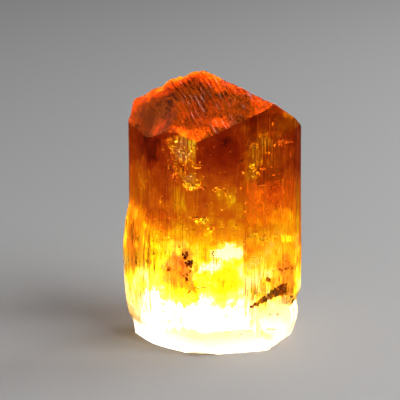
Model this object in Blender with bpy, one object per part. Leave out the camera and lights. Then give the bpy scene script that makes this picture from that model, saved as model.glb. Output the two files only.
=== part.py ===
"""A rough crystal of imperial topaz, standing on the flat cleavage break at its foot.

One rhombic prism with striated sides and a slanting, etched top. Metres, +Z up. The origin is
the middle of the crystal's box at the level of its base, and the large etched face of the top
looks towards -Y.
"""

import random
from math import cos, pi, radians, sin

import bmesh
import bpy
from mathutils import Vector

MM = 0.001

# Prism. Topaz grows the rhombic prisms m and l and the side face b, whose normals lie at these
# angles from the short diagonal of the rhombus.
M_ANGLE = radians(27.85)
L_ANGLE = radians(46.55)
B_ANGLE = radians(90.0)
# The short diagonal is turned this far from -Y, clockwise from above.
AXIS_TURN = radians(-14.0)
# Each face: the angle of its normal and its distance from the crystal's axis.
PRISM_FACES = (
    (M_ANGLE - pi, 6.55 * MM),
    (L_ANGLE - pi, 7.05 * MM),
    (-B_ANGLE, 8.58 * MM),
    (-L_ANGLE, 7.04 * MM),
    (-M_ANGLE, 6.38 * MM),
    (M_ANGLE, 6.39 * MM),
    (L_ANGLE, 7.11 * MM),
    (B_ANGLE, 8.34 * MM),
    (pi - L_ANGLE, 7.12 * MM),
    (pi - M_ANGLE, 6.50 * MM),
)

# Striations: the sides are stepped where the two prism forms grew in turn.
STRIATION_WIDTH = 0.42 * MM
STRIATION_RELIEF = 0.07 * MM
EDGE_WEAR = 0.16 * MM
ROW_PITCH = 1.0 * MM
ROW_UNEVENNESS = 0.018 * MM
TOP_ROW = 20.0 * MM
BLANK_HEIGHT = 29.0 * MM

# Girth: how far the left and right flanks stand out from the prism, as (height, shift) pairs.
# The left one swells low down and draws in at its foot; the right one has a small step.
LEFT_GIRTH = (
    (0.0 * MM, -0.24 * MM),
    (1.4 * MM, -0.22 * MM),
    (2.5 * MM, 0.04 * MM),
    (4.5 * MM, 0.42 * MM),
    (6.0 * MM, 0.58 * MM),
    (9.0 * MM, 0.68 * MM),
    (11.5 * MM, 0.42 * MM),
    (13.5 * MM, 0.0 * MM),
)
RIGHT_GIRTH = (
    (0.0 * MM, -0.22 * MM),
    (2.0 * MM, -0.14 * MM),
    (3.0 * MM, -0.18 * MM),
    (4.0 * MM, -0.34 * MM),
    (5.0 * MM, 0.06 * MM),
    (9.0 * MM, 0.16 * MM),
    (14.0 * MM, 0.08 * MM),
    (20.0 * MM, 0.0 * MM),
)
# The shift grows from nothing to its full amount between these distances from the axis.
FLANK_INNER = 5.0 * MM
FLANK_OUTER = 8.2 * MM

# Top faces: the way each one slopes down, from -Y towards +X, its slope, and its height where
# it crosses the crystal's axis.
ETCHED = "etched"
SMOOTH = "smooth"
REAR_LEFT = "rear left"
REAR_RIGHT = "rear right"
TIP = "tip"
TOP_FACES = {
    ETCHED: (radians(-25.4), radians(33.0), 25.66 * MM),
    SMOOTH: (radians(-53.4), radians(46.2), 28.18 * MM),
    REAR_LEFT: (radians(-145.2), radians(36.2), 28.69 * MM),
    REAR_RIGHT: (radians(115.9), radians(34.7), 26.40 * MM),
    TIP: (radians(-60.0), radians(6.0), 26.47 * MM),
}

# Etching: ridges across the top faces, as the direction they run in, their pitch, their relief,
# and how often each is broken across.
ETCHING = {
    ETCHED: (radians(22.5), 0.46 * MM, 0.085 * MM, 1.1 * MM),
    SMOOTH: (radians(-128.0), 0.80 * MM, 0.030 * MM, 0.9 * MM),
    REAR_LEFT: (radians(-160.0), 0.75 * MM, 0.060 * MM, 1.5 * MM),
    REAR_RIGHT: (radians(150.0), 0.75 * MM, 0.070 * MM, 1.5 * MM),
}
# The ridges fade out this close to the edges of their face.
RIDGE_FADE = 0.35 * MM
# The smooth face is a shallow shell-shaped break, deepest here.
SCOOP_CENTRE = Vector((-6.2 * MM, -1.0 * MM))
SCOOP_RADIUS = 3.2 * MM
SCOOP_DEPTH = 0.40 * MM

# The base's rim is worn away in two places, along the lower right and at the front corner. Each
# chip: its direction, its slope and how far from the axis it starts.
CHIPS = (
    (radians(66.0), radians(42.0), 6.85 * MM),
    (radians(-10.0), radians(24.0), 6.40 * MM),
)

# Narrowest piece that a ridge line may cut off.
TOLERANCE = 0.002 * MM

SEED = 11


def clear_scene():
    """Takes away whatever objects the open file holds."""
    for item in list(bpy.data.objects):
        bpy.data.objects.remove(item, do_unlink=True)


def compass(angle):
    """The level direction at this angle from -Y towards +X."""
    return Vector((sin(angle), -cos(angle)))


def prism_face(index):
    """The normal of one prism face, seen from above, and its distance from the axis."""
    angle, distance = PRISM_FACES[index % len(PRISM_FACES)]
    return compass(angle + AXIS_TURN), distance


def prism_corner(index):
    """The corner between a prism face and the one before it, seen from above."""
    (before, reach_before), (after, reach_after) = prism_face(index - 1), prism_face(index)
    cross = before.x * after.y - before.y * after.x
    across = (reach_before * after.y - reach_after * before.y) / cross
    back = (reach_after * before.x - reach_before * after.x) / cross
    return Vector((across, back))


def striated_outline(rng):
    """The prism from above. Each face is a row of narrow steps that stand proud and lie back in
    turn, and each corner is a little worn."""
    points = []
    for index in range(len(PRISM_FACES)):
        start, end = prism_corner(index), prism_corner(index + 1)
        outward, _ = prism_face(index)
        steps = max(2, round((end - start).length / STRIATION_WIDTH))
        points.append(start - start.normalized() * EDGE_WEAR)
        for step in range(1, steps):
            side = 1.0 if step % 2 else -1.0
            along = (step + rng.uniform(-0.25, 0.25)) / steps
            relief = side * STRIATION_RELIEF * rng.uniform(0.35, 1.0)
            points.append(start.lerp(end, along) + outward * relief)
    return points


def read_off(table, height):
    """The value at this height in a table of (height, value) pairs, with straight runs between."""
    lower = table[0]
    for upper in table[1:]:
        if height <= upper[0]:
            share = (height - lower[0]) / (upper[0] - lower[0])
            return lower[1] + max(share, 0.0) * (upper[1] - lower[1])
        lower = upper
    return lower[1]


def at_height(point, height, rng):
    """A point of the outline carried up to a height, with the swell of its flank."""
    table = LEFT_GIRTH if point.x < 0.0 else RIGHT_GIRTH
    share = (abs(point.x) - FLANK_INNER) / (FLANK_OUTER - FLANK_INNER)
    shift = read_off(table, height) * min(max(share, 0.0), 1.0)
    outward = point.normalized()
    uneven = rng.uniform(-ROW_UNEVENNESS, ROW_UNEVENNESS)
    moved = point + outward * uneven + Vector((shift if point.x > 0.0 else -shift, 0.0))
    return Vector((moved.x, moved.y, height))


def grow_prism(mesh, rng):
    """The striated prism, taller than the crystal, as rings of points from the base up."""
    outline = striated_outline(rng)
    rows = round(TOP_ROW / ROW_PITCH)
    heights = [row * ROW_PITCH for row in range(rows + 1)] + [BLANK_HEIGHT]
    rings = []
    for height in heights:
        steady = random.Random(SEED) if height > TOP_ROW else rng
        rings.append([mesh.verts.new(at_height(point, height, steady)) for point in outline])
    count = len(outline)
    for below, above in zip(rings, rings[1:]):
        for side in range(count):
            after = (side + 1) % count
            mesh.faces.new((below[side], below[after], above[after], above[side]))
    mesh.faces.new(list(reversed(rings[0])))
    mesh.faces.new(rings[-1])


def cut_away(mesh, point, normal, mark, tag):
    """Takes off all that lies beyond a plane, and closes the cut with one marked flat face."""
    everything = mesh.verts[:] + mesh.edges[:] + mesh.faces[:]
    bmesh.ops.bisect_plane(
        mesh, geom=everything, dist=TOLERANCE, plane_co=point, plane_no=normal, clear_outer=True
    )
    rim = [edge for edge in mesh.edges if edge.is_boundary]
    filled = bmesh.ops.holes_fill(mesh, edges=rim, sides=0)
    for face in filled["faces"]:
        face[mark] = tag


def top_plane(name):
    """A point of a top face, and its normal."""
    direction, slope, height = TOP_FACES[name]
    downhill = compass(direction) * sin(slope)
    return Vector((0.0, 0.0, height)), Vector((downhill.x, downhill.y, cos(slope)))


def score(mesh, mark, tag, direction, pitch, offset):
    """Cuts the faces with this mark along upright planes, a pitch apart, that run one way."""
    across = Vector((compass(direction).y, -compass(direction).x, 0.0))
    reach = [across.dot(vert.co) for vert in mesh.verts]
    line = min(reach) + offset * pitch
    while line < max(reach):
        faces = [face for face in mesh.faces if face[mark] == tag]
        edges = list({edge for face in faces for edge in face.edges})
        verts = list({vert for face in faces for vert in face.verts})
        bmesh.ops.bisect_plane(
            mesh, geom=verts + edges + faces, dist=TOLERANCE, plane_co=across * line, plane_no=across
        )
        line += pitch


def clearance(point, name):
    """How far a point of one top face lies from that face's edges: from the prism's sides, and
    from where the other top faces cut it."""
    level = Vector((point.x, point.y))
    sides = [prism_face(index) for index in range(len(PRISM_FACES))]
    gaps = [reach - outward.dot(level) for outward, reach in sides]
    for other in TOP_FACES:
        if other != name:
            base, normal = top_plane(other)
            gaps.append(normal.dot(base - point))
    return min(gaps)


def etch(mesh, mark, tag, name, rng):
    """Raises the ridges of one top face: every other line along it is a crest, and each crest
    rises and falls a little from break to break."""
    direction, pitch, relief, breaks = ETCHING[name]
    line_pitch = pitch / 2
    score(mesh, mark, tag, direction, line_pitch, 0.5)
    score(mesh, mark, tag, direction + pi / 2, breaks, rng.random())
    across = Vector((compass(direction).y, -compass(direction).x, 0.0))
    first = min(across.dot(vert.co) for vert in mesh.verts) + 0.5 * line_pitch
    verts = {vert for face in mesh.faces if face[mark] == tag for vert in face.verts}
    inside = [vert for vert in verts if all(face[mark] == tag for face in vert.link_faces)]
    for vert in sorted(inside, key=lambda item: item.index):
        line = round((across.dot(vert.co) - first) / line_pitch)
        side = 1.0 if line % 2 else -1.0
        fade = min((clearance(vert.co, name) - EDGE_WEAR) / RIDGE_FADE, 1.0)
        lift = side * relief * rng.uniform(0.3, 1.0)
        dip = scoop_depth(vert.co) if name == SMOOTH else 0.0
        vert.co.z += (lift - dip) * max(fade, 0.0)


def scoop_depth(point):
    """How deep the shell-shaped break is here: a shallow dish that fades out at its radius."""
    distance = (Vector((point.x, point.y)) - SCOOP_CENTRE).length
    share = max(1.0 - (distance / SCOOP_RADIUS) ** 2, 0.0)
    return SCOOP_DEPTH * share


def centre(mesh):
    """Puts the middle of the crystal's box on the Z axis."""
    for axis in range(2):
        reach = [vert.co[axis] for vert in mesh.verts]
        middle = (min(reach) + max(reach)) / 2
        for vert in mesh.verts:
            vert.co[axis] -= middle


def topaz_material():
    """Imperial topaz: clear, golden orange, refractive index 1.62."""
    material = bpy.data.materials.new("imperial_topaz")
    material.use_nodes = True
    shader = material.node_tree.nodes["Principled BSDF"]
    shader.inputs["Base Color"].default_value = (0.86, 0.30, 0.03, 1.0)
    shader.inputs["Metallic"].default_value = 0.0
    shader.inputs["Roughness"].default_value = 0.15
    shader.inputs["IOR"].default_value = 1.62
    shader.inputs["Transmission Weight"].default_value = 0.9
    return material


def topaz_crystal():
    """The crystal: the prism grown tall, its top faces and foot cut, and the top etched."""
    rng = random.Random(SEED)
    mesh = bmesh.new()
    mark = mesh.faces.layers.int.new("top_face")
    grow_prism(mesh, rng)
    for tag, name in enumerate(TOP_FACES, start=1):
        cut_away(mesh, *top_plane(name), mark, tag)
    for direction, slope, start in CHIPS:
        level = compass(direction)
        point = Vector((level.x * start, level.y * start, 0.0))
        normal = Vector((level.x * sin(slope), level.y * sin(slope), -cos(slope)))
        cut_away(mesh, point, normal, mark, 0)
    for tag, name in enumerate(TOP_FACES, start=1):
        if name in ETCHING:
            etch(mesh, mark, tag, name, rng)
    centre(mesh)
    bmesh.ops.triangulate(mesh, faces=mesh.faces[:])
    data = bpy.data.meshes.new("topaz_crystal")
    mesh.to_mesh(data)
    mesh.free()
    crystal = bpy.data.objects.new("topaz_crystal", data)
    crystal.data.materials.append(topaz_material())
    bpy.context.scene.collection.objects.link(crystal)
    return crystal


clear_scene()
topaz_crystal()
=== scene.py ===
"""A rough crystal of imperial topaz, standing on its base on a pale table in soft light."""

from math import cos, pi, radians, sin, tan

import bpy
import numpy as np
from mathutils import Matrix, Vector


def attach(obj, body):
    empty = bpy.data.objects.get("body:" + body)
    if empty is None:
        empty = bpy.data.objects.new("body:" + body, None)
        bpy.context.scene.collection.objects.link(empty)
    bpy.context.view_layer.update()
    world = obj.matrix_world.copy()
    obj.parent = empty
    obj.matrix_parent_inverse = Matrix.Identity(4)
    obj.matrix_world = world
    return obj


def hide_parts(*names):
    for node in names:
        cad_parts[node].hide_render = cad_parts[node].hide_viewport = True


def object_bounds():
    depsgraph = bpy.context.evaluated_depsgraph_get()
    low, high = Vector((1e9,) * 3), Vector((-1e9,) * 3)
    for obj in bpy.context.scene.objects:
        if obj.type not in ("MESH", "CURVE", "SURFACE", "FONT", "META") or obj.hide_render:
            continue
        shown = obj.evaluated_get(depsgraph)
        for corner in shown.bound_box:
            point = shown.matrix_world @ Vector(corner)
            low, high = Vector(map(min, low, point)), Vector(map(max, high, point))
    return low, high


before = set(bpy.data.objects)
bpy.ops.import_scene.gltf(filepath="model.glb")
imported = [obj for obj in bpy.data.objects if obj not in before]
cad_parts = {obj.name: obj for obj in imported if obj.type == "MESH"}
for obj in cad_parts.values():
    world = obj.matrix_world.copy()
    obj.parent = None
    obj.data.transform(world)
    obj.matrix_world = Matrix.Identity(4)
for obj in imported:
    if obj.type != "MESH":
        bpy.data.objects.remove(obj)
cad_low, cad_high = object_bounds()

# The crystal. Imperial topaz, an orange fluorine aluminium silicate: one prism that grew in a
# cavity, with sides grooved along their length, a top etched by late fluids, and a foot that
# is a clean break along the mineral's one perfect cleavage.

MM = 0.001
# How far the normals of the three kinds of prism face stand from the front, and how far the
# whole crystal is turned.
M_ANGLE = radians(27.85)
L_ANGLE = radians(46.55)
B_ANGLE = radians(90.0)
AXIS_TURN = radians(-14.0)
# Each prism face: the angle of its normal, from -Y towards +X, and its distance from the axis.
PRISM_FACES = (
    (M_ANGLE - pi, 6.55),
    (L_ANGLE - pi, 7.05),
    (-B_ANGLE, 8.58),
    (-L_ANGLE, 7.04),
    (-M_ANGLE, 6.38),
    (M_ANGLE, 6.39),
    (L_ANGLE, 7.11),
    (B_ANGLE, 8.34),
    (pi - L_ANGLE, 7.12),
    (pi - M_ANGLE, 6.50),
)
# How far the flanks stand out from the prism, in mm: heights, then shifts.
LEFT_GIRTH = (
    (0, 1.2, 2.2, 3.3, 4.5, 6, 9, 11.5, 13.5),
    (-0.50, -0.34, 0.16, 0.38, 0.50, 0.60, 0.70, 0.42, 0),
)
RIGHT_GIRTH = (
    (0, 0.9, 2, 3, 4, 5, 9, 14, 20),
    (-0.90, -0.62, -0.22, -0.16, -0.34, 0.06, 0.16, 0.08, 0),
)
FLANK_INNER, FLANK_OUTER = 5.0, 8.2
# Grooves along the sides: width, length and depth in mm, then the seed of their noise. They are
# fainter in the middle of the front, by its place, its reach and the share that is left there,
# and a little deeper at the rear.
GROOVES = ((1.2, 9.0, 0.032, 31), (0.5, 6.0, 0.012, 22), (0.2, 4.0, 0.005, 23))
CALM_PLACE, CALM_REACH, CALM_LEAST = 0.6, 4.5, 0.45
REAR_GROOVES = 1.2
# How far the upright edges and the edges of the top are rounded over, in mm.
SIDE_WEAR, TOP_WEAR = 0.08, 0.10
# Top faces: the way each slopes down, its slope in degrees, and its height over the axis in mm.
TOP_FACES = {
    "etched": (-25.4, 33.0, 25.76),
    "smooth": (-53.4, 46.2, 28.18),
    "rear_left": (-145.2, 36.2, 28.69),
    "rear_right": (115.9, 34.7, 26.52),
    "tip": (-60.0, 6.0, 26.47),
}
# The way that the ridges of the etched face run, as a compass angle.
RIDGE_RUN = 22.5
# Relief of the top faces: which way its lines run, their pitch and height in mm, and their seed.
TOP_RELIEF = {
    "etched": (RIDGE_RUN, 0.42, 0.052, 3),
    "smooth": (-128.0, 0.60, 0.014, 5),
    "rear_left": (-160.0, 0.70, 0.010, 7),
    "rear_right": (135.0, 0.60, 0.009, 9),
}
# The relief of a face fades out where it meets the next one, over this height in mm.
RELIEF_FADE = 0.5
# Chips along the crest: width in mm, share of the full depth, and the seed of their noise.
CREST_CHIPS = ((0.9, 1.0, 15), (0.4, 0.6, 16))
CHIP_DEPTH, CHIP_REACH = 0.45, 0.9
# The dish in the smooth face: its middle, radius and depth in mm.
DISH_MIDDLE, DISH_RADIUS, DISH_DEPTH = (-6.2, -1.0), 3.2, 0.40
# Rounding the edges takes a little off the tip, so the whole top is lifted by as much.
TOP_LIFT = 0.12
# Chips out of the base's rim: direction, slope in degrees, and start from the axis in mm.
BASE_CHIPS = ((66.0, 42.0, 6.85), (-10.0, 24.0, 6.40))

SIDE_CELLS = 200
COLUMNS = 4 * SIDE_CELLS
WALL_ROWS = 60
BASE_RINGS = 10
RIM_PASSES = 12


def compass(angle):
    """The level direction at this angle from -Y towards +X."""
    return np.array((sin(angle), -cos(angle)))


def noise(across, along, seed):
    """Smooth random waves, -1 to 1: random values on whole numbers, eased in between. Numbers
    that a caller adds to the place only pick another stretch of the waves."""
    table = np.random.default_rng(seed).uniform(-1.0, 1.0, (257, 257))
    column, row = np.floor(across), np.floor(along)
    u, v = across - column, along - row
    u, v = u * u * (3 - 2 * u), v * v * (3 - 2 * v)
    i, j = column.astype(int) % 256, row.astype(int) % 256
    lower = table[i, j] * (1 - u) + table[i + 1, j] * u
    upper = table[i, j + 1] * (1 - u) + table[i + 1, j + 1] * u
    return lower * (1 - v) + upper * v


def soft_least(values, softness):
    """The least of several arrays, with the corner between any two rounded over."""
    stack = np.stack(values)
    least = stack.min(axis=0)
    return least - softness * np.log(np.exp((least - stack) / softness).sum(axis=0))


def prism_outline(count, wear):
    """The prism from above, as evenly spaced points: in each direction, the least distance at
    which that direction crosses a face, where a face that points away counts as far off. Gives
    the points, the outward normals and the way round."""
    angles = np.linspace(-pi, pi, 20001)
    level = np.stack((np.sin(angles), -np.cos(angles)))
    reaches = []
    for angle, distance in PRISM_FACES:
        facing = compass(angle + AXIS_TURN) @ level
        reaches.append(np.where(facing > 0.05, distance / np.maximum(facing, 0.05), 99.0))
    radius = soft_least(reaches, wear)
    points = radius * level
    length = np.concatenate(([0.0], np.cumsum(np.hypot(*np.diff(points, axis=1)))))
    spots = np.interp(np.arange(count) / count * length[-1], length, angles)
    radius = np.interp(spots, angles, radius)
    points = np.stack((np.sin(spots), -np.cos(spots))) * radius
    tangent = np.roll(points, -1, axis=1) - np.roll(points, 1, axis=1)
    tangent /= np.hypot(*tangent)
    return points, np.stack((tangent[1], -tangent[0])), length[-1]


def top_planes(x, y):
    """The height of each plane of the top over a point: its height over the axis, less the
    tangent of its slope times how far down the slope the point lies."""
    planes = {}
    for name, (direction, slope, height) in TOP_FACES.items():
        down = compass(radians(direction))
        planes[name] = height - tan(radians(slope)) * (down[0] * x + down[1] * y)
    return planes


def crest_gap(planes):
    """How far the planes of the front and of the rear are apart over a point: zero on the crest."""
    front = np.minimum(planes["etched"], planes["smooth"])
    return np.abs(front - np.minimum(planes["rear_left"], planes["rear_right"]))


def cap_height(x, y):
    """Height of the top over a point: the softened least of its five sloping planes, with sawn
    ridges on the etched face, low waves on the others, chips along the crest, and a shallow
    dish in the smooth face."""
    planes = top_planes(x, y)
    least = soft_least(list(planes.values()), TOP_WEAR)
    edge = {name: np.clip((value - least) / RELIEF_FADE, 0, 1) for name, value in planes.items()}
    relief = np.zeros_like(x)
    for name, (direction, pitch, height, seed) in TOP_RELIEF.items():
        run = compass(radians(direction))
        along, across = run[0] * x + run[1] * y, run[1] * x - run[0] * y
        bend = 0.30 * noise(along / 2.6 + 40, across / 1.6 + 40, seed)
        phase = (across + bend) / pitch
        saw = np.abs(phase - np.floor(phase) - 0.5) * 4 - 1
        broken = 0.50 + 0.50 * noise(along / 1.2 + 90, np.floor(phase) + 100, seed + 1)
        grain = 0.22 * noise(along / 1.0 + 60, across / 0.22 + 60, seed + 2)
        waves = 1.6 * noise(along / 2.4 + 30, across / pitch + 30, seed + 3)
        relief += (1 - edge[name]) * height * (grain + (saw * broken if name == "etched" else waves))
    chips = np.zeros_like(x)
    for width, share, seed in CREST_CHIPS:
        chips += share * np.clip(noise(x / width + 50, y / width + 50, seed), 0, 1)
    chips *= np.clip(1 - crest_gap(planes) / CHIP_REACH, 0, 1)
    from_dish = np.hypot(x - DISH_MIDDLE[0], y - DISH_MIDDLE[1])
    dish = np.clip(1 - from_dish ** 2 / DISH_RADIUS ** 2, 0, 1)
    return least + TOP_LIFT + relief - CHIP_DEPTH * chips - DISH_DEPTH * dish * (1 - edge["smooth"])


def top_marks(x, y):
    """For points of the top, how much each belongs to the etched face, and how near it is to the
    crest: 1 there, and less as the gap between the front and rear planes grows to 2 mm. The
    crest fades out at its left end, and a little right of the tip it drops to less than half."""
    planes = top_planes(x, y)
    # The crest mark places the painted highlight that makes the crest pale.
    crest = np.clip(1.2 - crest_gap(planes) / 1.8, 0, 1) * np.clip((x + 9) / 4, 0, 1)
    crest *= np.where(x < 0.5, 1.0, 0.4)
    rear = np.minimum(planes["rear_left"], planes["rear_right"])
    etched = np.clip((planes["smooth"] - planes["etched"]) / 0.4, 0, 1)
    return etched * np.clip((rear - planes["etched"]) / 0.3, 0, 1), crest


def base_height(x, y):
    """Height of the underside over a point: flat at zero, and lifted by the chips."""
    lifts = [np.zeros_like(x)]
    for direction, slope, start in BASE_CHIPS:
        level = compass(radians(direction))
        lifts.append((level[0] * x + level[1] * y - start) * tan(radians(slope)))
    return np.stack(lifts).max(axis=0)


OUTLINE, OUTWARD, GIRDLE = prism_outline(COLUMNS, SIDE_WEAR)


def wall(height):
    """The sides at one height for each column: the outline, with grooves along it that start
    and stop at ledges, fainter in the middle of the front, and with the swell of the flanks."""
    column = np.arange(COLUMNS) / COLUMNS * GIRDLE
    columns = np.broadcast_to(column, height.shape)
    relief = np.zeros_like(height)
    calm = np.clip(np.abs(OUTLINE[0] - CALM_PLACE) / CALM_REACH, CALM_LEAST, 1.0)
    for width, tall, depth, seed in GROOVES:
        count = round(GIRDLE / width)
        place = columns / GIRDLE * count
        value = noise(place, height / tall + 3 * noise(np.floor(place), 0 * height, seed), seed)
        relief += depth * np.tanh(3 * value) * np.where(OUTWARD[1] > 0, REAR_GROOVES, calm)
    x = OUTLINE[0] + OUTWARD[0] * relief
    y = OUTLINE[1] + OUTWARD[1] * relief
    share = np.clip((np.abs(x) - FLANK_INNER) / (FLANK_OUTER - FLANK_INNER), 0, 1)
    girth = np.where(x < 0, np.interp(height, *LEFT_GIRTH), np.interp(height, *RIGHT_GIRTH))
    return x + np.sign(x) * girth * share, y


def rim(surface, start):
    """Where the sides meet a surface above or below: the height is corrected until the point
    that the side has there lies in the surface."""
    height = np.full(COLUMNS, float(start))
    for _ in range(RIM_PASSES):
        height = surface(*wall(height))
    return height


def closed_mesh(name, vertices, quads, triangles):
    """A mesh object from whole arrays of points and faces."""
    mesh = bpy.data.meshes.new(name)
    corners = np.concatenate((quads.ravel(), triangles.ravel())).astype(np.int32)
    sizes = np.concatenate((np.full(len(quads), 4), np.full(len(triangles), 3)))
    starts = np.concatenate(([0], np.cumsum(sizes)[:-1])).astype(np.int32)
    mesh.vertices.add(len(vertices))
    mesh.vertices.foreach_set("co", (vertices * MM).astype(np.float32).ravel())
    mesh.loops.add(len(corners))
    mesh.loops.foreach_set("vertex_index", corners)
    mesh.polygons.add(len(sizes))
    mesh.polygons.foreach_set("loop_start", starts)
    mesh.polygons.foreach_set("use_smooth", np.ones(len(sizes), bool))
    mesh.update(calc_edges=True)
    mesh.validate()
    item = bpy.data.objects.new(name, mesh)
    bpy.context.scene.collection.objects.link(item)
    return item


def square_grid(cells):
    """A square of cells laid over a disc: for each grid point, its ring from 0 at the centre to
    1 at the border, and its place along the border as a column of the wall."""
    side = np.linspace(-1, 1, cells + 1)
    a, b = np.meshgrid(side, side, indexing="ij")
    ring = np.maximum(np.abs(a), np.abs(b))
    safe = np.maximum(ring, 1e-9)
    a, b = a / safe, b / safe
    place = np.select(
        (b <= -1 + 1e-9, a >= 1 - 1e-9, b >= 1 - 1e-9),
        ((a + 1) / 2, 1 + (b + 1) / 2, 2 + (1 - a) / 2),
        3 + (1 - b) / 2,
    )
    return ring, place * cells % (4 * cells)


def crystal_mesh():
    """Rings up the wall, a square grid over the cap, and rings over the base."""
    foot, crest = rim(base_height, 0), rim(cap_height, 20)
    share = np.linspace(0, 1, WALL_ROWS + 1)[:, None]
    heights = foot + (crest - foot) * share
    x, y = wall(heights)
    sides = np.stack((x, y, heights), axis=2)
    # The cap: each grid point lies on the line from the centre to the rim.
    ring, place = square_grid(SIDE_CELLS)
    low = np.floor(place).astype(int) % COLUMNS
    high, part = (low + 1) % COLUMNS, place - np.floor(place)
    top_x = (x[-1][low] * (1 - part) + x[-1][high] * part) * ring
    top_y = (y[-1][low] * (1 - part) + y[-1][high] * part) * ring
    cap = np.stack((top_x, top_y, cap_height(top_x, top_y)), axis=2)
    # The border of the cap is the last row of the wall, so it is left out and shared.
    inside = ring < 1 - 1e-9
    wall_count = sides.shape[0] * COLUMNS
    inner = WALL_ROWS * COLUMNS + np.round(place).astype(int) % COLUMNS
    inner[inside] = wall_count + np.arange(inside.sum())
    rows = np.arange(WALL_ROWS)[:, None] * COLUMNS
    turn = np.arange(COLUMNS)[None, :]
    after = (turn + 1) % COLUMNS
    above = rows + COLUMNS
    quads = [np.stack((rows + turn, rows + after, above + after, above + turn), axis=2)]
    quads.append(np.stack((inner[:-1, :-1], inner[1:, :-1], inner[1:, 1:], inner[:-1, 1:]), axis=2))
    # The base: rings from the foot of the wall in to one middle point.
    first = wall_count + inside.sum()
    shares = 1 - np.arange(1, BASE_RINGS)[:, None] / BASE_RINGS
    base_x, base_y = x[0] * shares, y[0] * shares
    base = np.stack((base_x, base_y, base_height(base_x, base_y)), axis=2)
    lines = np.concatenate((turn, first + np.arange(BASE_RINGS - 1)[:, None] * COLUMNS + turn))
    ahead = np.roll(lines, -1, axis=1)
    quads.append(np.stack((ahead[:-1], lines[:-1], lines[1:], ahead[1:]), axis=2))
    middle = first + (BASE_RINGS - 1) * COLUMNS
    fan = np.stack((ahead[-1], lines[-1], np.full(COLUMNS, middle)), axis=1)
    vertices = np.concatenate((sides.reshape(-1, 3), cap[inside], base.reshape(-1, 3), [[0, 0, 0]]))
    quads = np.concatenate([part.reshape(-1, 4) for part in quads])
    return vertices, quads, fan


def linear(code):
    """A linear colour from an sRGB hex code."""
    parts = [int(code[i : i + 2], 16) / 255 for i in (1, 3, 5)]
    return tuple(p / 12.92 if p <= 0.04045 else ((p + 0.055) / 1.055) ** 2.4 for p in parts) + (1.0,)


def node(tree, kind, settings=None, links=None):
    """Adds a node with these settings and links, and gives its outputs. A setting or link is
    named by its socket's name or number, and "stops" are the places and colours of a ramp."""
    item = tree.nodes.new("ShaderNode" + kind)
    for key, value in (settings or {}).items():
        if key == "stops":
            points = item.color_ramp.elements
            while len(points) < len(value):
                points.new(0.5)
            for point, (position, colour) in zip(points, value):
                point.position, point.color = position, colour
        elif isinstance(key, str) and hasattr(item, key):
            setattr(item, key, value)
        else:
            item.inputs[key].default_value = value
    for key, source in (links or {}).items():
        tree.links.new(source, item.inputs[key])
    return item.outputs


# Colour zones over the height in mm, from the near-white foot to the red-brown tip. They are partly the
# topaz's own zoning and partly painted glow and painted shade: palest at the foot, where the light below
# shines up through it, and darkest at the tip, farthest from that light.
ZONES_AND_PAINTED_GLOW = (
    (0.0, "#fffdf0"),
    (3.8, "#fffbe4"),
    (5.4, "#fdf088"),
    (7.2, "#f6e01e"),
    (9.4, "#f0c208"),
    (11.2, "#dc9206"),
    (12.8, "#c46c08"),
    (15.5, "#c05a0c"),
    (18.5, "#a44008"),
    (21.0, "#902b04"),
    (25.0, "#7c1b03"),
    (30.0, "#300901"),
    (36.0, "#140301"),
)
ZONE_TOP = 36.0
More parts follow.
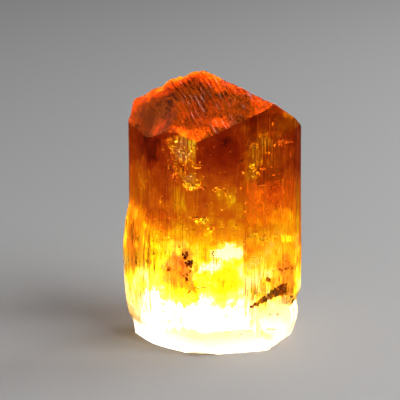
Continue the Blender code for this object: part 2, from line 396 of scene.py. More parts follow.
# Patches that make the colour paler or deeper: x, y, z, then the radii, then by how many mm the zone is
# shifted, down for a paler colour and up for a deeper one. They are partly painted light and shade,
# paler where the lit crystal glows and deeper where it lies in shade, and partly the crystal's own
# zoning. Light from the front crosses the crystal and leaves lower down at the rear, so some patches
# have a partner there.
ZONE_AND_PAINTED_LIGHT_PATCHES = (
    # The dark wedge below the top, a painted shade, and what lies behind it.
    ((0.6, -6.4, 20.3), (1.7, 3.0, 2.2), 2.6),
    ((1.8, -6.1, 20.8), (1.7, 3.0, 1.7), 2.6),
    ((-0.5, 7.0, 17.8), (2.2, 3.0, 2.6), 5.0),
    # Behind the amber patch, the left wedge, and the amber patch.
    ((2.9, 6.6, 18.3), (1.8, 3.0, 2.0), -7.0),
    ((-6.6, -2.7, 19.9), (1.7, 3.0, 2.3), 8.5),
    ((3.5, -5.7, 18.9), (1.2, 2.5, 2.4), -7.5),
    ((3.9, -5.6, 18.2), (0.9, 2.5, 1.0), -2.0),
    ((4.2, -5.4, 20.8), (1.7, 3.0, 1.6), -7.0),
    # The right flank and the left one.
    ((6.4, -4.3, 19.5), (2.4, 3.0, 1.6), -3.8),
    ((6.4, -4.3, 15.6), (2.4, 3.0, 1.8), 5.6),
    ((-7.3, -1.5, 17.1), (1.0, 3.0, 2.3), -4.5),
    # The pale veil at the upper left, partly a painted reflection, what lies behind it, and the gold
    # fleck below it, paled by a painted highlight about its flashes.
    ((-3.2, -5.6, 20.6), (2.2, 3.0, 1.9), -14.0),
    ((-2.8, -5.6, 18.5), (1.8, 3.0, 1.6), -6.0),
    ((-4.4, 5.6, 18.4), (2.3, 3.5, 2.6), 9.0),
    ((-2.2, -6.5, 17.2), (1.3, 3.0, 1.0), -8.5),
    # The streaks in the middle, and what lies behind them.
    ((1.0, -6.3, 16.0), (1.0, 2.5, 1.9), -2.6),
    ((-0.3, 7.0, 13.8), (1.5, 3.0, 1.9), -3.6),
    ((-2.9, 6.8, 15.2), (1.4, 3.0, 1.8), -3.0),
    # The middle of the left side, the fleck in the middle, and the flanks there.
    ((-5.2, -4.6, 16.7), (2.0, 3.0, 1.9), 4.0),
    ((-5.6, -4.2, 12.9), (2.3, 3.0, 1.7), 5.0),
    ((-1.2, -6.8, 13.6), (1.0, 2.5, 0.6), -5.0),
    ((-7.4, -1.3, 12.1), (1.0, 3.0, 2.0), -3.5),
    ((6.3, -4.4, 13.1), (1.6, 3.0, 2.2), -3.5),
    # The lower edge of the amber zone, and the hot patch and its trail under it, a painted glow.
    ((1.2, -6.3, 11.9), (2.2, 3.0, 0.7), 1.8),
    ((1.2, -6.2, 10.2), (2.0, 3.0, 1.0), -10.5),
    ((0.1, 7.0, 8.3), (2.2, 3.0, 1.0), -8.5),
    ((0.0, -6.5, 9.2), (1.1, 2.5, 0.7), -8.0),
    ((-1.2, -6.8, 8.7), (1.1, 2.5, 0.6), -8.0),
    ((-2.0, 6.9, 6.8), (1.9, 3.0, 0.8), -6.0),
    # The brown column and the golden ground on the left of it.
    ((-2.7, -6.1, 8.7), (1.1, 2.5, 2.3), 5.0),
    ((-2.2, -6.5, 6.3), (1.2, 2.5, 1.6), 4.5),
    ((-4.0, -5.0, 8.0), (2.0, 3.0, 2.2), 8.0),
    ((-3.0, -5.8, 5.8), (2.1, 3.0, 1.5), 4.0),
    ((-5.2, -4.5, 6.0), (2.0, 3.0, 1.8), 4.5),
    ((-7.0, -2.4, 9.4), (1.4, 3.0, 2.2), -2.0),
    # The foot, the left flank and the golden right side.
    ((0.9, 7.0, 4.4), (2.3, 3.0, 1.6), 3.0),
    ((-8.3, 0.4, 8.0), (0.7, 3.0, 4.2), 4.0),
    ((7.2, -3.8, 5.8), (1.7, 3.0, 1.3), 4.4),
    ((6.8, -4.1, 8.0), (2.2, 3.0, 0.6), 3.0),
    ((5.4, -5.0, 6.6), (2.2, 3.0, 1.1), 2.5),
    ((6.6, -4.2, 7.8), (2.0, 3.0, 1.7), 2.5),
    ((4.4, -5.4, 9.2), (2.0, 3.0, 3.4), -1.8),
    ((3.2, 6.6, 6.8), (2.4, 3.0, 2.4), -3.0),
    ((6.2, -4.4, 3.2), (2.6, 3.0, 1.9), -3.0),
    ((8.6, -1.6, 10.0), (0.8, 3.0, 5.0), 3.0),
    # The shoulder under the right end of the top, paled by a painted glow, and the top.
    ((5.6, -4.8, 22.6), (3.6, 3.5, 2.4), -7.0),
    ((7.0, -3.4, 22.7), (2.4, 3.0, 1.2), -8.0),
    ((2.6, 6.6, 20.6), (2.6, 3.0, 2.4), -8.5),
    ((-2.3, 0.2, 25.0), (3.4, 2.4, 3.0), 3.5),
    ((-6.4, -0.6, 23.3), (2.8, 3.0, 2.6), 6.2),
    ((0.2, -5.3, 22.6), (0.9, 1.0, 1.0), -6.5),
)


# Relief too fine for the mesh, drawn in the gloss: its depth in mm, and the share of that depth
# that the grooves of the sides and the pits of the top have.
FINE_DEPTH, GROOVE_SHARE, PIT_SHARE = 0.10, 0.06, 0.6


def topaz_material():
    """Imperial topaz, natural faces. Clear, refractive index 1.62, coloured by chromium and colour
    centres: golden where light goes a short way through it, red-orange where it goes far. The zone near
    the tip is the reddest. Its base colour also carries painted glow and painted shade: near white at
    the foot, where the light below shines in, with paler and deeper patches and a pale, painted
    highlight on the crest. Grooves and etch pits dull the faces here and there."""
    material = bpy.data.materials.new("topaz_natural_faces")
    material.use_nodes = True
    tree = material.node_tree
    shader = tree.nodes["Principled BSDF"]
    place = node(tree, "TexCoord")["Object"]
    height = node(tree, "SeparateXYZ", None, {0: place})["Z"]
    zone = node(tree, "Math", {"operation": "DIVIDE", 1: MM}, {0: height})[0]
    # Clouds, mottling, and threads and fibres drawn out along the prism move the zones: the
    # width of each in mm, how many times longer it is than wide, and by how many mm it moves them.
    for width, drawn_out, most in ((4.2, 1, 3.4), (1.3, 1, 3.0), (0.8, 8, 0.9), (0.38, 4, 1.4)):
        drawn = node(tree, "Mapping", {"Scale": (1, 1, 1 / drawn_out)}, {0: place})[0]
        settings = {"Scale": 1 / (width * MM), "Detail": 4.0, "Roughness": 0.6}
        cloud = node(tree, "TexNoise", settings, {"Vector": drawn})[0]
        cloud = node(tree, "MapRange", {1: 0.3, 2: 0.7, 3: -most, 4: most}, {0: cloud})[0]
        zone = node(tree, "Math", {"operation": "ADD"}, {0: zone, 1: cloud})[0]
    # The patches have ragged borders: noise 1.1 mm wide pushes the place about before it is
    # measured.
    settings = {"Scale": 1 / (1.1 * MM), "Detail": 3.0, "Roughness": 0.6}
    push = node(tree, "TexNoise", settings, {"Vector": place})["Color"]
    push = node(tree, "VectorMath", {"operation": "SUBTRACT", 1: (0.5, 0.5, 0.5)}, {0: push})[0]
    push = node(tree, "VectorMath", {"operation": "SCALE", "Scale": 2.6 * MM}, {0: push})[0]
    pushed = node(tree, "VectorMath", {"operation": "ADD"}, {0: place, 1: push})[0]
    for centre, radii, shift in ZONE_AND_PAINTED_LIGHT_PATCHES:
        radii = np.array(radii) * MM
        middle = settle(np.array([centre]))[0] * MM
        away = node(tree, "VectorMath", {"operation": "SUBTRACT", 1: middle}, {0: pushed})[0]
        away = node(tree, "VectorMath", {"operation": "DIVIDE", 1: radii}, {0: away})[0]
        away = node(tree, "VectorMath", {"operation": "LENGTH"}, {0: away})["Value"]
        settings = {"interpolation_type": "SMOOTHSTEP", 1: 0.5, 2: 1.0, 3: shift, 4: 0.0}
        moved = node(tree, "MapRange", settings, {0: away})[0]
        zone = node(tree, "Math", {"operation": "ADD"}, {0: zone, 1: moved})[0]
    # The thin edge of the crest is made pale, a painted highlight. The last growth, on the top faces, is
    # the deepest in colour, and that is partly painted shade too, as the top lies farthest from the
    # light below. By how many mm each moves the zone.
    for mark, most in (("crest", -21.0), ("top", 8.5)):
        share = node(tree, "Attribute", {"attribute_name": mark})["Fac"]
        share = node(tree, "Math", {"operation": "MULTIPLY", 1: most}, {0: share})[0]
        zone = node(tree, "Math", {"operation": "ADD"}, {0: zone, 1: share})[0]
    zone = node(tree, "MapRange", {1: 0.0, 2: ZONE_TOP}, {0: zone})[0]
    stops = [(z / ZONE_TOP, linear(code)) for z, code in ZONES_AND_PAINTED_GLOW]
    colour = node(tree, "ValToRGB", {"stops": stops}, {0: zone})["Color"]
    tree.links.new(colour, shader.inputs["Base Color"])
    # The sides: faint grooves along the prism, seen in the gloss. Real ones are 0.1 mm wide or
    # less, too fine to show, so they are drawn 0.4 mm wide.
    drawn = node(tree, "Mapping", {"Scale": (1.0, 1.0, 0.06)}, {0: place})[0]
    settings = {"Scale": 1 / (0.4 * MM), "Detail": 3.0, "Roughness": 0.6}
    groove = node(tree, "TexNoise", settings, {"Vector": drawn})[0]
    # The etched face: ridges 0.26 mm apart that run down it, each 2.2 mm long at most.
    run = compass(radians(RIDGE_RUN))
    across, along = np.array((run[1], -run[0], 0)) / (0.26 * MM), np.array((*run, 0)) / (2.2 * MM)
    across = node(tree, "VectorMath", {"operation": "DOT_PRODUCT", 1: across}, {0: place})["Value"]
    along = node(tree, "VectorMath", {"operation": "DOT_PRODUCT", 1: along}, {0: place})["Value"]
    ridge = node(tree, "CombineXYZ", None, {0: across, 1: along})[0]
    ridge = node(tree, "TexNoise", {"Scale": 1.0, "Detail": 1.0, "Roughness": 0.5}, {"Vector": ridge})[0]
    etched = node(tree, "Attribute", {"attribute_name": "etched"})["Fac"]
    ridge = node(tree, "Math", {"operation": "MULTIPLY"}, {0: ridge, 1: etched})[0]
    relief = node(tree, "Math", {"operation": "MULTIPLY_ADD", 1: GROOVE_SHARE}, {0: groove, 2: ridge})[0]
    # The rest of the top is etched with shallow pits 0.5 mm across.
    frosted = node(tree, "Attribute", {"attribute_name": "frosted"})["Fac"]
    settings = {"Scale": 1 / (0.5 * MM), "Detail": 3.0, "Roughness": 0.65}
    pits = node(tree, "TexNoise", settings, {"Vector": place})[0]
    pits = node(tree, "Math", {"operation": "MULTIPLY"}, {0: pits, 1: frosted})[0]
    relief = node(tree, "Math", {"operation": "MULTIPLY_ADD", 1: PIT_SHARE}, {0: pits, 2: relief})[0]
    bump = node(tree, "Bump", {"Strength": 1.0, "Distance": FINE_DEPTH * MM}, {"Height": relief})[0]
    tree.links.new(bump, shader.inputs["Normal"])
    rough = node(tree, "MapRange", {1: 0.40, 2: 0.70, 3: 0.02, 4: 0.16}, {0: groove})[0]
    dull = node(tree, "MapRange", {1: 0.35, 2: 0.65, 3: 0.02, 4: 0.30}, {0: ridge})[0]
    rough = node(tree, "Math", {"operation": "MAXIMUM"}, {0: rough, 1: dull})[0]
    frost = node(tree, "Math", {"operation": "MULTIPLY", 1: 0.12}, {0: frosted})[0]
    rough = node(tree, "Math", {"operation": "MAXIMUM"}, {0: rough, 1: frost})[0]
    # The broken foot is matt, so the light under it comes in, and the sides just over it are dull.
    for low, high, most in ((0.01, 0.2, 0.85), (0.9, 2.4, 0.5)):
        settings = {1: low * MM, 2: high * MM, 3: most, 4: 0.0}
        foot = node(tree, "MapRange", settings, {0: height})[0]
        rough = node(tree, "Math", {"operation": "MAXIMUM"}, {0: rough, 1: foot})[0]
    tree.links.new(rough, shader.inputs["Roughness"])
    shader.inputs["IOR"].default_value = 1.62
    shader.inputs["Transmission Weight"].default_value = 1.0
    # What a millimetre of clear topaz keeps of each colour: the long way through is redder.
    volume = node(tree, "VolumeAbsorption", {"Color": linear("#f7f0e3"), "Density": 400.0})
    tree.links.new(volume[0], tree.nodes["Material Output"].inputs["Volume"])
    return material


vertices, quads, fan = crystal_mesh()
# What belongs to the top is marked on the corners of the cap's own faces, so that the colour
# changes at the rim and not below it.
corners = np.concatenate((quads.ravel(), fan.ravel()))
on_top = np.zeros(len(corners))
on_top[4 * WALL_ROWS * COLUMNS : 4 * (WALL_ROWS * COLUMNS + SIDE_CELLS ** 2)] = 1
etched, crest = top_marks(*vertices[corners, :2].T)
marks = {
    "etched": etched * on_top,
    "crest": crest * on_top,
    "top": on_top,
    "frosted": (1 - etched) * on_top,
}
prism_middle = (vertices.min(axis=0) + vertices.max(axis=0)) / 2 * (1, 1, 0)
prism_reach = np.abs(vertices - prism_middle).max(axis=0)
part_reach = np.array(cad_high) / MM
prism_fit = np.minimum(part_reach / prism_reach, 1.0)


def settle(points):
    """Points in the prism's own axes, set over the middle of the part and within its size."""
    return (points - prism_middle) * prism_fit


crystal = closed_mesh("topaz_prism", settle(vertices), quads, fan)
for name, values in marks.items():
    mark = crystal.data.attributes.new(name, "FLOAT", "CORNER")
    mark.data.foreach_set("value", values.astype(np.float32))
# The rim of the top and the rim of the base are sharp edges of the crystal.
ends = np.empty(2 * len(crystal.data.edges), np.int32)
crystal.data.edges.foreach_get("vertices", ends)
at_rim = [(ends // COLUMNS == row).reshape(-1, 2).all(axis=1) for row in (0, WALL_ROWS)]
crystal.data.attributes.new("sharp_edge", "BOOLEAN", "EDGE")
crystal.data.attributes["sharp_edge"].data.foreach_set("value", at_rim[0] | at_rim[1])
crystal.data.materials.append(topaz_material())
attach(crystal, "root")
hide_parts("topaz_crystal")

# Healed cracks, inside the crystal. They opened along the cleavage while it grew and healed with
# fluid in them: thin milky films, nearly level, that scatter light.

# A flake is a lens of 40 faces: rings from its middle to its rim, and spokes.
FLAKE_RINGS, FLAKE_SPOKES = 2, 10
# How many cracks there are, out of how many random places, and how deep they lie at least.
CRACKS, CRACK_PLACES, CRACK_DEPTH = 60, 4000, 2.0


def room_in_crystal(points):
    """How deep points lie inside the crystal, in mm: the least distance to a side, or to the
    top or base."""
    sides = [distance - compass(angle + AXIS_TURN) @ points[:, :2].T for angle, distance in PRISM_FACES]
    under_top = cap_height(points[:, 0], points[:, 1]) - points[:, 2]
    return np.minimum(np.stack(sides).min(axis=0), under_top)


def flake_mesh(name, centres, sizes, facing, tilt, upright, thickness, ragged, seed):
    """Thin wavy lenses with ragged outlines. A point of a lens is its centre, plus a spoke of
    uneven length in the lens's own plane, plus a wave and half the thickness along its normal.
    Its normal is the facing direction, tilted at random. Upright lenses are narrow and stand
    nearly straight up, and the others are broader and turned any way."""
    rng = np.random.default_rng(seed)
    count = len(centres)
    normals = np.array(facing) + rng.normal(0, tilt, (count, 3))
    normals /= np.linalg.norm(normals, axis=1)[:, None]
    spin = np.where(upright, rng.normal(0, 0.08, count), rng.uniform(-pi, pi, count))
    narrow = np.where(upright, rng.uniform(0.10, 0.25, count), rng.uniform(0.35, 1.0, count))
    rise = np.array((0, 0.001, 1.0)) - normals[:, 2:] * normals
    rise /= np.linalg.norm(rise, axis=1)[:, None]
    level = np.cross(normals, rise)
    first = np.cos(spin)[:, None] * rise + np.sin(spin)[:, None] * level
    second = np.cross(normals, first)
    spokes = np.arange(FLAKE_SPOKES) / FLAKE_SPOKES * 2 * pi
    uneven = 1 + ragged * rng.uniform(-1, 1, (count, FLAKE_SPOKES))
    rings = np.linspace(0, 1, FLAKE_RINGS + 1)[1:]
    reach = sizes[:, None, None] * rings[None, :, None] * uneven[:, None, :]
    one = reach * np.cos(spokes)
    two = reach * np.sin(spokes) * narrow[:, None, None]
    wave = 0.12 * sizes[:, None, None] * rng.uniform(-1, 1, (count, FLAKE_RINGS, FLAKE_SPOKES))
    half = thickness * np.sqrt(np.clip(1 - rings ** 2, 0, 1))[None, :, None]
    flat = centres[:, None, None, :] + one[..., None] * first[:, None, None, :]
    flat = flat + two[..., None] * second[:, None, None, :]
    upper = flat + (wave + half)[..., None] * normals[:, None, None, :]
    lower = (flat + (wave - half)[..., None] * normals[:, None, None, :])[:, :-1]
    top, bottom = centres + thickness * normals, centres - thickness * normals
    parts = (top[:, None], upper.reshape(count, -1, 3), lower.reshape(count, -1, 3), bottom[:, None])
    block = np.concatenate(parts, axis=1)
    spoke = np.arange(FLAKE_SPOKES)
    ahead = (spoke + 1) % FLAKE_SPOKES
    over = 1 + np.arange(FLAKE_RINGS)[:, None] * FLAKE_SPOKES
    under = 1 + (FLAKE_RINGS + np.arange(FLAKE_RINGS - 1)[:, None]) * FLAKE_SPOKES
    under = np.concatenate((under, over[-1:]))
    quads = np.concatenate((
        np.stack((over[:-1] + spoke, over[1:] + spoke, over[1:] + ahead, over[:-1] + ahead), axis=2),
        np.stack((under[:-1] + ahead, under[1:] + ahead, under[1:] + spoke, under[:-1] + spoke), axis=2),
    )).reshape(-1, 4)
    last = block.shape[1] - 1
    fans = np.concatenate((
        np.stack((0 * spoke, 1 + spoke, 1 + ahead), axis=1),
        np.stack((0 * spoke + last, under[0] + ahead, under[0] + spoke), axis=1),
    ))
    shift = (np.arange(count) * block.shape[1])[:, None, None]
    points = settle(block.reshape(-1, 3))
    return closed_mesh(name, points, (quads + shift).reshape(-1, 4), (fans + shift).reshape(-1, 3))


def healed_crack_material():
    """Healed cracks in topaz: thin films of fluid and new growth, milky, that scatter light."""
    material = bpy.data.materials.new("topaz_healed_cracks")
    material.use_nodes = True
    tree = material.node_tree
    shader = tree.nodes["Principled BSDF"]
    place = node(tree, "TexCoord")["Object"]
    # Spots 0.3 mm across, where drops of fluid make the film rougher.
    spots = node(tree, "TexNoise", {"Scale": 1 / (0.3 * MM), "Detail": 2.0}, {"Vector": place})[0]
    rough = node(tree, "MapRange", {1: 0.35, 2: 0.65, 3: 0.35, 4: 0.9}, {0: spots})[0]
    tree.links.new(rough, shader.inputs["Roughness"])
    shader.inputs["Base Color"].default_value = linear("#fff6dc")
    shader.inputs["IOR"].default_value = 1.6
    shader.inputs["Transmission Weight"].default_value = 0.85
    return material


# They lie 1.2 to 24.2 mm up, more of them low down, and reach 0.15 to 1.05 mm, most of them little.
draw = np.random.default_rng(77)
spread = np.stack((
    draw.uniform(-8.5, 8.5, CRACK_PLACES),
    draw.uniform(-7, 7, CRACK_PLACES),
    1.2 + 23 * draw.beta(1.1, 1.6, CRACK_PLACES),
), axis=1)
spread = spread[room_in_crystal(spread) > CRACK_DEPTH][:CRACKS]
sizes = 0.15 + 0.9 * draw.beta(1.0, 4.0, len(spread))
cracks = flake_mesh("healed_cracks", spread, sizes, (0, 0, 1), 0.25, False, 0.012, 0.35, 5)
cracks.data.materials.append(healed_crack_material())
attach(cracks, "root")

# Open cracks, just under the front. These hairline cracks still hold a film of air. Light turns
# back at the film, so each flashes like a chip of gold leaf. Upright ones follow the prism.

# Rows: x, z, how far they spread in x and z, the least and most depth behind the front, how many,
# the least and most size, and 1 where they stand upright; all in mm.
FLASHES = (
    (-2.6, 16.8, 0.42, 0.42, 0.2, 0.6, 18, 0.16, 0.46, 0),
    (-1.6, 16.9, 0.55, 0.25, 0.2, 0.7, 10, 0.10, 0.32, 0),
    (-3.3, 20.7, 1.60, 0.90, 0.2, 1.2, 44, 0.06, 0.26, 0),
    (-2.3, 19.0, 0.85, 1.30, 0.2, 1.2, 26, 0.06, 0.24, 0),
    (-4.0, 20.0, 1.00, 1.40, 0.2, 1.0, 34, 0.06, 0.36, 1),
    (-4.0, 18.6, 0.80, 1.20, 0.2, 1.0, 24, 0.08, 0.50, 1),
    (-3.6, 18.0, 1.20, 1.80, 0.3, 1.2, 30, 0.15, 0.80, 1),
    (-1.2, 13.6, 0.65, 0.30, 0.2, 0.7, 18, 0.10, 0.30, 0),
    (-0.5, 12.5, 0.15, 0.12, 0.2, 0.5, 4, 0.15, 0.28, 0),
    (0.0, 16.6, 0.35, 0.25, 0.2, 0.8, 6, 0.12, 0.28, 0),
    (3.8, 18.3, 0.60, 0.90, 0.3, 1.5, 14, 0.10, 0.32, 0),
    (5.3, 18.3, 2.10, 4.00, 0.2, 1.2, 90, 0.06, 0.28, 1),
    (-5.3, 13.4, 0.07, 1.90, 0.12, 0.2, 24, 0.07, 0.14, 0),
    (6.4, 20.6, 1.40, 0.24, 0.2, 0.7, 20, 0.06, 0.24, 0),
    (-7.2, 17.1, 0.50, 1.70, 0.2, 0.7, 34, 0.08, 0.26, 1),
    (1.0, 16.0, 0.45, 1.20, 0.4, 1.2, 7, 0.10, 0.45, 1),
    (0.5, 11.9, 2.30, 0.60, 0.3, 1.2, 8, 0.08, 0.24, 1),
    (-5.5, 11.0, 2.00, 0.80, 0.3, 1.2, 22, 0.08, 0.30, 1),
    (5.2, 23.0, 0.70, 0.80, 0.2, 0.7, 14, 0.10, 0.30, 1),
    (0.0, 15.5, 7.00, 6.50, 0.15, 0.8, 110, 0.04, 0.16, 0),
)
# None lies nearer to a face of the crystal than this.
LEAST_DEPTH = 0.12


def front_wall(x):
    """The y of the prism's front at these x: of the faces that look forward, the one that lies
    farthest back there."""
    reaches = []
    for angle, distance in PRISM_FACES:
        normal = compass(angle + AXIS_TURN)
        if normal[1] < -0.05:
            reaches.append((distance - normal[0] * x) / normal[1])
    return np.stack(reaches).max(axis=0)


def scatter(rows, seed):
    """Random places behind the front wall, from rows of x, z, spread, depth, number and size:
    evenly over an ellipse about the middle. Gives the points, their sizes, and whether each
    stands upright."""
    rng = np.random.default_rng(seed)
    table = np.array(rows, float)
    table = np.repeat(table, table[:, 6].astype(int), axis=0)
    reach, turn = np.sqrt(rng.random(len(table))), rng.uniform(-pi, pi, len(table))
    x = table[:, 0] + table[:, 2] * reach * np.cos(turn)
    z = table[:, 1] + table[:, 3] * reach * np.sin(turn)
    deep = rng.uniform(table[:, 4], table[:, 5])
    size = table[:, 7] + (table[:, 8] - table[:, 7]) * rng.random(len(table)) ** 2
    points = np.stack((x, front_wall(x) + deep, z), axis=1)
    inside = room_in_crystal(points) > LEAST_DEPTH
    return points[inside], size[inside], table[inside, 9] > 0


def air_film_material():
    """Air in a hairline crack of topaz: it sends back nearly all light, like a pale gold mirror."""
    material = bpy.data.materials.new("topaz_air_film")
    material.use_nodes = True
    tree = material.node_tree
    shader = tree.nodes["Principled BSDF"]
    place = node(tree, "TexCoord")["Object"]
    # The film's thickness changes over 0.4 mm, and its tint with it.
    tarnish = node(tree, "TexNoise", {"Scale": 1 / (0.4 * MM), "Detail": 2.0}, {"Vector": place})[0]
    stops = [(0.42, linear("#e4c68c")), (0.58, linear("#fff2d2"))]
    colour = node(tree, "ValToRGB", {"stops": stops}, {0: tarnish})["Color"]
    tree.links.new(colour, shader.inputs["Base Color"])
    shader.inputs["Metallic"].default_value = 1.0
    shader.inputs["Roughness"].default_value = 0.22
    return material


points, sizes, upright = scatter(FLASHES, 12)
flashes = flake_mesh("open_cracks", points, sizes, (0, -1, -0.05), 0.22, upright, 0.010, 0.45, 13)
flashes.data.materials.append(air_film_material())
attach(flashes, "root")

# Iron stains. Brown iron hydroxide that seeped into cracks near the surface and dried there in
# ragged specks, with a slanting band of them low on the right.

# The same rows as for the cracks, with 1 where a speck is drawn out upright.
STAINS = (
    (3.5, 4.55, 0.20, 0.12, 0.15, 0.4, 18, 0.06, 0.18, 0),
    (3.9, 4.76, 0.28, 0.14, 0.15, 0.4, 28, 0.06, 0.20, 0),
    (4.4, 4.98, 0.28, 0.18, 0.15, 0.4, 30, 0.06, 0.22, 0),
    (4.8, 5.22, 0.30, 0.20, 0.15, 0.4, 34, 0.06, 0.24, 0),
    (4.9, 4.95, 0.14, 0.34, 0.15, 0.4, 14, 0.05, 0.16, 0),
    (5.3, 5.42, 0.30, 0.26, 0.15, 0.5, 36, 0.06, 0.24, 0),
    (5.7, 5.90, 0.32, 0.16, 0.15, 0.5, 20, 0.06, 0.20, 0),
    (5.8, 5.60, 0.32, 0.30, 0.15, 0.5, 40, 0.06, 0.24, 0),
    (6.3, 6.15, 0.36, 0.16, 0.15, 0.5, 26, 0.06, 0.22, 0),
    (6.3, 5.66, 0.34, 0.34, 0.15, 0.5, 46, 0.06, 0.26, 0),
    (6.8, 6.05, 0.16, 0.34, 0.15, 0.5, 20, 0.06, 0.22, 0),
    (6.9, 5.50, 0.22, 0.24, 0.15, 0.5, 18, 0.05, 0.18, 0),
    (-2.9, 9.8, 0.30, 0.36, 0.15, 0.5, 26, 0.06, 0.24, 0),
    (-2.5, 9.1, 0.36, 0.30, 0.15, 0.5, 28, 0.06, 0.24, 0),
    (-2.8, 7.6, 0.22, 0.60, 0.15, 0.5, 22, 0.05, 0.20, 0),
    (-2.3, 8.35, 0.20, 0.10, 0.1, 0.2, 6, 0.12, 0.24, 0),
    (-6.7, 8.4, 0.10, 0.10, 0.15, 0.3, 3, 0.06, 0.13, 0),
    (-6.0, 9.3, 0.28, 0.40, 0.15, 0.3, 9, 0.05, 0.14, 0),
    (5.1, 7.1, 0.22, 0.25, 0.15, 0.4, 8, 0.10, 0.26, 0),
    (7.5, 4.7, 0.32, 0.45, 0.15, 0.4, 18, 0.07, 0.24, 0),
    (6.7, 7.95, 1.50, 0.14, 0.15, 0.4, 30, 0.04, 0.14, 0),
    (5.3, 3.55, 0.10, 0.10, 0.15, 0.3, 3, 0.06, 0.13, 0),
    (6.0, 3.42, 0.10, 0.10, 0.15, 0.3, 3, 0.06, 0.13, 0),
    (1.4, 3.5, 0.10, 0.22, 0.15, 0.3, 5, 0.06, 0.13, 0),
    (4.2, 9.1, 0.30, 0.25, 0.15, 0.3, 6, 0.04, 0.11, 0),
    (-0.2, 8.3, 0.05, 2.30, 0.15, 0.3, 20, 0.03, 0.07, 0),
    (-0.3, 10.2, 0.10, 0.50, 0.15, 0.3, 8, 0.06, 0.14, 0),
    (-2.0, 6.0, 0.60, 1.10, 0.15, 0.7, 34, 0.04, 0.13, 0),
    (-4.4, 8.2, 0.60, 0.45, 0.15, 0.7, 16, 0.04, 0.14, 0),
    (-3.5, 4.5, 0.50, 0.15, 0.15, 0.7, 14, 0.03, 0.09, 0),
    (6.5, 9.0, 1.50, 2.60, 0.15, 0.4, 30, 0.08, 0.34, 1),
    (-6.6, 10.2, 0.90, 2.40, 0.15, 0.4, 16, 0.08, 0.30, 1),
)


def iron_stain_material():
    """Dried iron hydroxide: matt, from rust brown to nearly black."""
    material = bpy.data.materials.new("iron_hydroxide_stain")
    material.use_nodes = True
    tree = material.node_tree
    shader = tree.nodes["Principled BSDF"]
    place = node(tree, "TexCoord")["Object"]
    # Thin and thick crusts, in patches 0.55 mm across.
    patch = node(tree, "TexNoise", {"Scale": 1 / (0.55 * MM), "Detail": 3.0}, {"Vector": place})[0]
    stops = [(0.35, linear("#4a200a")), (0.55, linear("#8a4a14")), (0.72, linear("#b0702c"))]
    colour = node(tree, "ValToRGB", {"stops": stops}, {0: patch})["Color"]
    tree.links.new(colour, shader.inputs["Base Color"])
    shader.inputs["Roughness"].default_value = 0.9
    return material


points, sizes, upright = scatter(STAINS, 22)
stains = flake_mesh("iron_stains", points, sizes, (0, -1, 0), 0.35, upright, 0.03, 0.6, 23)
stains.data.materials.append(iron_stain_material())
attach(stains, "root")

# The table, the light and the camera. A sheet of pale paper under the crystal, two soft lights
# at the right, two small ones over the ridges, and the soft light that comes up through it.

TABLE_GAP = 0.06 * MM
TABLE_SIDE = 6.0
corners = np.array(((-1, -1, 0), (1, -1, 0), (1, 1, 0), (-1, 1, 0))) * TABLE_SIDE / 2
table_mesh = bpy.data.meshes.new("table")
table_mesh.from_pydata((corners - (0, 0, TABLE_GAP)).tolist(), [], [(0, 1, 2, 3)])
table = bpy.data.objects.new("table", table_mesh)
bpy.context.scene.collection.objects.link(table)
paper = bpy.data.materials.new("pale_paper")
paper.use_nodes = True
paper.node_tree.nodes["Principled BSDF"].inputs["Base Color"].default_value = linear("#dcdcdc")
paper.node_tree.nodes["Principled BSDF"].inputs["Roughness"].default_value = 0.9
table.data.materials.append(paper)


def soft_light(name, place, aim, width, power, shape="DISK"):
    """A soft light at a place, turned to an aim."""
    data = bpy.data.lights.new(name, "AREA")
    data.shape = shape
    data.size = width
    data.energy = power
    item = bpy.data.objects.new(name, data)
    item.location = place
    item.rotation_euler = (Vector(aim) - Vector(place)).to_track_quat("-Z", "Y").to_euler()
    bpy.context.scene.collection.objects.link(item)
    return item


soft_light("front_right", (0.22, -0.14, 0.20), (0, 0.01, 0.0), 0.30, 0.75)
soft_light("far_right", (0.26, 0.16, 0.14), (0, 0.01, 0.0), 0.24, 0.4)
# Two small ones that catch one side or the other of the ridges on the etched face.
soft_light("ridge_left", Vector((-0.69, 0.05, 0.72)) * 0.4, (0, 0, 0.02), 0.05, 0.013)
soft_light("ridge_rear", Vector((0.206, 0.575, 0.792)) * 0.4, (0, 0, 0.02), 0.05, 0.030)
# The light that comes up through the base, as large as the base.
below = soft_light("below", (0.0, 0.0, -TABLE_GAP / 2), (0.0, 0.0, 1), 0.0150, 0.0036, "ELLIPSE")
below.data.size_y = 0.0118
table.visible_glossy = False

# A low round light tent around the foot, just over the table: a floor from near the crystal out,
# then a wall, brightest low down. Its light comes through the crystal, and it isn't shown itself.
TENT_GAP, TENT_RADIUS, TENT_HEIGHT, TENT_DROP = 5.5, 20.0, 19.0, 0.045
TENT_GLOW = (
    (0.0, 12.0), (0.4, 4.3), (3.0, 3.3), (5.0, 2.6), (7.5, 1.75), (11.0, 1.4), (15.0, 1.3), (18.5, 1.1)
)
TENT_MOST = 12.0
FLOOR_RINGS, WALL_RINGS, TENT_SPOKES = 8, 16, 64
spoke = np.arange(TENT_SPOKES)
turn = spoke / TENT_SPOKES * 2 * pi
floor_reach = np.linspace(TENT_GAP, TENT_RADIUS, FLOOR_RINGS)
wall_rise = np.linspace(0, TENT_HEIGHT, WALL_RINGS + 1)[1:]
reach = np.concatenate((floor_reach, np.full(WALL_RINGS, TENT_RADIUS)))[:, None]
rise = np.concatenate((np.zeros(FLOOR_RINGS), wall_rise))[:, None]
points = np.stack((reach * np.cos(turn), reach * np.sin(turn), rise + 0 * turn - TENT_DROP), axis=2)
inner = np.arange(FLOOR_RINGS + WALL_RINGS - 1)[:, None] * TENT_SPOKES
outer, ahead = inner + TENT_SPOKES, (spoke + 1) % TENT_SPOKES
quads = np.stack((inner + spoke, outer + spoke, outer + ahead, inner + ahead), axis=2)
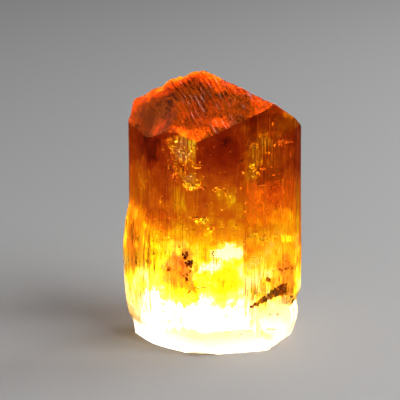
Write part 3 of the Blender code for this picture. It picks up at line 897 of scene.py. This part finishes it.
tent = closed_mesh("light_tent", points.reshape(-1, 3), quads.reshape(-1, 4), np.zeros((0, 3), int))
glow = bpy.data.materials.new("tent_glow")
glow.use_nodes = True
tree = glow.node_tree
tree.nodes.clear()
tall = node(tree, "SeparateXYZ", None, {0: node(tree, "TexCoord")["Object"]})["Z"]
tall = node(tree, "MapRange", {1: 0.0, 2: TENT_HEIGHT * MM}, {0: tall})[0]
stops = [(z / TENT_HEIGHT, (bright / TENT_MOST,) * 3 + (1.0,)) for z, bright in TENT_GLOW]
fall = node(tree, "ValToRGB", {"stops": stops}, {0: tall})["Color"]
light = node(tree, "Emission", {"Strength": TENT_MOST}, {"Color": fall})[0]
node(tree, "OutputMaterial", None, {"Surface": light})
tent.data.materials.append(glow)
tent.visible_camera = tent.visible_glossy = tent.visible_diffuse = tent.visible_shadow = False

# The room, from straight down at 0 to straight up at 1: palest a little over the horizon.
ROOM = ((0.0, "#303030"), (0.48, "#303030"), (0.55, "#c8c8c8"), (0.7, "#909090"), (0.9, "#202020"))
ROOM_LIGHT = 0.30
world = bpy.data.worlds.new("room")
world.use_nodes = True
tree = world.node_tree
sky = node(tree, "SeparateXYZ", None, {0: node(tree, "TexCoord")["Generated"]})["Z"]
sky = node(tree, "MapRange", {1: -1.0, 2: 1.0}, {0: sky})[0]
sky = node(tree, "ValToRGB", {"stops": [(z, linear(code)) for z, code in ROOM]}, {0: sky})["Color"]
tree.links.new(sky, tree.nodes["Background"].inputs["Color"])
tree.nodes["Background"].inputs["Strength"].default_value = ROOM_LIGHT
bpy.context.scene.world = world
bpy.context.scene.view_settings.view_transform = "Standard"
bpy.context.scene.cycles.max_bounces = 24
bpy.context.scene.cycles.transmission_bounces = 20
bpy.context.scene.cycles.glossy_bounces = 12
bpy.context.scene.cycles.sample_clamp_indirect = 30.0

# The photograph's view: 13.5 degrees down along +Y, with 10.1 pixels to a millimetre at the
# crystal. Its middle stands at pixel (212, 205) of 400 by 400.
ELEVATION = radians(13.5)
DISTANCE = 0.230
SENSOR = 36.0
PIXELS_PER_MM = 10.1
CENTRE_PIXEL = (212.0, 205.0)
FRAME = 400.0
aim = Vector((0, 0, 0.0134))
back = Vector((0, -cos(ELEVATION), sin(ELEVATION)))
up = Vector((0, sin(ELEVATION), cos(ELEVATION)))
slide = Vector((-(CENTRE_PIXEL[0] - FRAME / 2), 0, 0)) / PIXELS_PER_MM * MM
slide += up * (CENTRE_PIXEL[1] - FRAME / 2) / PIXELS_PER_MM * MM
camera_data = bpy.data.cameras.new("camera")
camera_data.sensor_width = SENSOR
camera_data.lens = PIXELS_PER_MM * DISTANCE / MM / FRAME * SENSOR
camera_data.clip_start = 0.005
camera = bpy.data.objects.new("camera", camera_data)
camera.location = aim + back * DISTANCE + slide
camera.rotation_euler = (-back).to_track_quat("-Z", "Y").to_euler()
bpy.context.scene.collection.objects.link(camera)
bpy.context.scene.camera = camera
